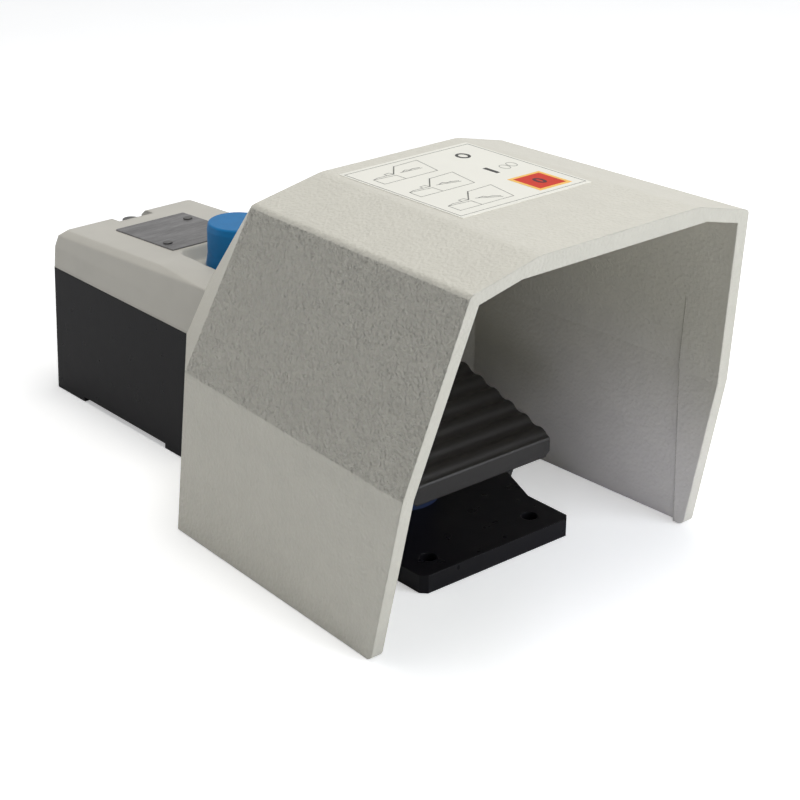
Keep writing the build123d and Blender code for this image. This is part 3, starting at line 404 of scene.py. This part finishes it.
# Artwork on the label
def label_matrix():
    low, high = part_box("hood_label")
    top = [vertex.co for vertex in NODES["hood_label"].data.vertices]
    rear = max(co.z for co in top if co.y > high.y - LABEL_REAR_BAND * MM)
    front = max(co.z for co in top)
    slope = math.atan2(rear - front, high.y - low.y)
    middle = Vector(((low.x + high.x) / 2, (low.y + high.y) / 2, (rear + front) / 2))
    return Matrix.Translation(middle) @ Matrix.Rotation(slope, 4, "X")


def ink_mesh(name, faces, material, height=LABEL_INK_HEIGHT):
    mesh = bmesh.new()
    for ring in faces:
        bottom = [mesh.verts.new((x * MM, y * MM, 0.0)) for x, y in ring]
        top = [mesh.verts.new((x * MM, y * MM, height * MM)) for x, y in ring]
        mesh.faces.new(top)
        mesh.faces.new(list(reversed(bottom)))
        for index in range(len(ring)):
            after = (index + 1) % len(ring)
            mesh.faces.new((bottom[index], bottom[after], top[after], top[index]))
    data = bpy.data.meshes.new(name)
    mesh.to_mesh(data)
    mesh.free()
    piece = bpy.data.objects.new(name, data)
    bpy.context.scene.collection.objects.link(piece)
    piece.matrix_world = label_matrix()
    data.materials.append(material)
    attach(piece, "housing")


def stroke_faces(points, width):
    faces = []
    for start, end in zip(points, points[1:]):
        run = Vector((end[0] - start[0], end[1] - start[1]))
        run.normalize()
        side = Vector((-run.y, run.x)) * width / 2
        tip = run * width / 2
        a = Vector(start) - tip
        b = Vector(end) + tip
        faces.append([tuple(a - side), tuple(b - side), tuple(b + side), tuple(a + side)])
    return faces


def oval(spot, half):
    turns = [2 * math.pi * step / RING_STEPS for step in range(RING_STEPS)]
    return [(spot[0] + half[0] * math.cos(turn), spot[1] + half[1] * math.sin(turn)) for turn in turns]


def ring_faces(spot, half, stroke):
    outer = oval(spot, half)
    inner = oval(spot, (half[0] - stroke, half[1] - stroke))
    faces = []
    for index in range(RING_STEPS):
        after = (index + 1) % RING_STEPS
        faces.append([outer[index], outer[after], inner[after], inner[index]])
    return faces


def rectangle(spot, half):
    return [(spot[0] - half[0], spot[1] - half[1]), (spot[0] + half[0], spot[1] - half[1]),
            (spot[0] + half[0], spot[1] + half[1]), (spot[0] - half[0], spot[1] + half[1])]


def closed(points):
    return list(points) + [points[0]]


def sketch_faces(row, angle):
    faces = []
    for outline in (SKETCH_HOOD, SKETCH_BOX, SKETCH_LID, SKETCH_KNOB):
        faces += stroke_faces([(x, y + row) for x, y in outline], SKETCH_STROKE)
    faces += stroke_faces([(x, y + row) for x, y in SKETCH_HOOD[:2]], SKETCH_BOLD_STROKE)
    lean = math.radians(angle)
    foot = []
    for along, up in SKETCH_FOOT:
        foot.append((SKETCH_PEDAL_PIVOT[0] + along * math.cos(lean) - up * math.sin(lean),
                     SKETCH_PEDAL_PIVOT[1] + row + along * math.sin(lean) + up * math.cos(lean)))
    end = (SKETCH_PEDAL_PIVOT[0] + SKETCH_PEDAL_LENGTH * math.cos(lean),
           SKETCH_PEDAL_PIVOT[1] + row + SKETCH_PEDAL_LENGTH * math.sin(lean))
    start = (SKETCH_PEDAL_PIVOT[0], SKETCH_PEDAL_PIVOT[1] + row)
    return faces + stroke_faces(foot, SKETCH_FOOT_STROKE) + stroke_faces([start, end], SKETCH_STROKE)


def draw_label():
    black = ink("label_black", (0.03, 0.03, 0.028))
    grey = ink("label_grey", (0.16, 0.16, 0.15))
    pale_grey = ink("label_pale_grey", (0.33, 0.33, 0.30))
    red = ink("label_red", (0.55, 0.03, 0.012))
    yellow = ink("label_yellow", (0.86, 0.52, 0.13))
    wine = ink("label_dark_red", (0.07, 0.012, 0.016))
    frame_line = closed(rectangle((0, 0), LABEL_FRAME_HALF))
    ink_mesh("label_frame_line", stroke_faces(frame_line, LABEL_FRAME_STROKE), grey)
    ink_mesh("label_zero", ring_faces(ZERO_SPOT, ZERO_HALF, ZERO_STROKE), black)
    ink_mesh("label_one", [rectangle(ONE_SPOT, ONE_HALF)], black)
    loops = [face for spot in LOOP_SPOTS for face in ring_faces(spot, LOOP_HALF, LOOP_STROKE)]
    ink_mesh("label_loops", loops, pale_grey)
    ink_mesh("label_patch_border", [rectangle(PATCH_SPOT, PATCH_OUTER_HALF)], yellow)
    ink_mesh("label_patch", [rectangle(PATCH_SPOT, PATCH_INNER_HALF)], red, PATCH_INK_HEIGHT)
    ink_mesh("label_patch_zero", ring_faces(PATCH_SPOT, PATCH_ZERO_HALF, PATCH_ZERO_STROKE), wine,
             PATCH_ZERO_INK_HEIGHT)
    sketches = []
    for row, angle in zip(SKETCH_ROWS, SKETCH_PEDAL_ANGLES):
        sketches += sketch_faces(row, angle)
    ink_mesh("label_sketches", sketches, grey)


# Studio
def show_white_to_camera(tree, shader_output, target):
    path = tree.nodes.new("ShaderNodeLightPath")
    seen = tree.nodes.new("ShaderNodeMath")
    seen.operation = "MAXIMUM"
    tree.links.new(path.outputs["Is Camera Ray"], seen.inputs[0])
    tree.links.new(path.outputs["Is Glossy Ray"], seen.inputs[1])
    both = tree.nodes.new("ShaderNodeMath")
    both.operation = "MAXIMUM"
    tree.links.new(seen.outputs["Value"], both.inputs[0])
    tree.links.new(path.outputs["Is Transmission Ray"], both.inputs[1])
    white = tree.nodes.new("ShaderNodeBackground")
    white.inputs["Color"].default_value = (*WHITE, 1.0)
    white.inputs["Strength"].default_value = 1.0
    mix = tree.nodes.new("ShaderNodeMixShader")
    tree.links.new(both.outputs["Value"], mix.inputs["Fac"])
    tree.links.new(shader_output, mix.inputs[1])
    tree.links.new(white.outputs["Background"], mix.inputs[2])
    tree.links.new(mix.outputs["Shader"], target)


def make_world():
    world = bpy.data.worlds.new("studio")
    bpy.context.scene.world = world
    world.use_nodes = True
    tree = world.node_tree
    background = tree.nodes["Background"]
    background.inputs["Color"].default_value = (*WORLD_COLOUR, 1.0)
    background.inputs["Strength"].default_value = WORLD_STRENGTH
    show_white_to_camera(tree, background.outputs["Background"], tree.nodes["World Output"].inputs["Surface"])


def make_floor():
    material, shader = new_material("pale_floor", FLOOR_GREY, roughness=0.9)
    vector = place_texture(material)
    tint(material, shader, noise(material, vector, cell=60 * MM), *FLOOR_SHADES)
    path = add_node(material, "ShaderNodeLightPath")
    glow = add_node(material, "ShaderNodeMath", operation="MULTIPLY")
    glow.inputs[1].default_value = FLOOR_WHITENING
    link(material, path.outputs["Is Camera Ray"], glow.inputs[0])
    link(material, glow.outputs["Value"], shader.inputs["Emission Strength"])
    shader.inputs["Emission Color"].default_value = (*WHITE, 1.0)
    bpy.ops.mesh.primitive_plane_add(size=FLOOR_SIDE, location=(0.0, 0.0, cad_low.z - FLOOR_DROP))
    floor = bpy.context.object
    floor.name = "floor"
    floor.data.materials.append(material)


def make_light(name, place, aim, size, power, colour):
    data = bpy.data.lights.new(name, "AREA")
    data.energy = power
    data.size = size
    data.color = colour
    lamp = bpy.data.objects.new(name, data)
    bpy.context.scene.collection.objects.link(lamp)
    lamp.location = place
    lamp.visible_camera = False
    lamp.rotation_mode = "QUATERNION"
    lamp.rotation_quaternion = (Vector(aim) - Vector(place)).to_track_quat("-Z", "Y")
    return data


def make_lights():
    make_light("top_light", place=(0.08, -0.05, 1.5), aim=PART_MIDDLE, size=0.8, power=13.5,
               colour=(1.0, 0.985, 0.955))
    make_light("front_light", place=(0.5, -1.35, 0.75), aim=PART_MIDDLE, size=0.9, power=15.0,
               colour=(0.92, 0.955, 1.0))
    make_light("rear_left_light", place=(-0.7, 0.65, 0.15), aim=PART_MIDDLE, size=0.5, power=1.5,
               colour=(1.0, 0.985, 0.96))
    mouth = make_light("mouth_light", place=(-0.055, -0.205, 0.012), aim=(0.07, -0.11, 0.008), size=0.06,
                       power=0.009, colour=(0.74, 0.74, 1.0))
    mouth.spread = MOUTH_CONE


def make_camera():
    back = Vector((math.sin(CAMERA_AZIMUTH) * math.cos(CAMERA_ELEVATION),
                   -math.cos(CAMERA_AZIMUTH) * math.cos(CAMERA_ELEVATION),
                   math.sin(CAMERA_ELEVATION)))
    right = Vector((math.cos(CAMERA_AZIMUTH), math.sin(CAMERA_AZIMUTH), 0.0))
    up = back.cross(right)
    rolled_right = right * math.cos(CAMERA_ROLL) + up * math.sin(CAMERA_ROLL)
    rolled_up = up * math.cos(CAMERA_ROLL) - right * math.sin(CAMERA_ROLL)
    data = bpy.data.cameras.new("camera")
    data.lens = CAMERA_LENS
    data.sensor_width = CAMERA_SENSOR
    data.clip_end = CAMERA_REACH
    camera = bpy.data.objects.new("camera", data)
    bpy.context.scene.collection.objects.link(camera)
    turn = Matrix((rolled_right, rolled_up, back)).transposed()
    camera.matrix_world = Matrix.Translation(CAMERA_PLACE) @ turn.to_4x4()
    bpy.context.scene.camera = camera


dress_nodes()
draw_label()
make_world()
make_floor()
make_lights()
make_camera()
bpy.context.scene.view_settings.view_transform = "Standard"
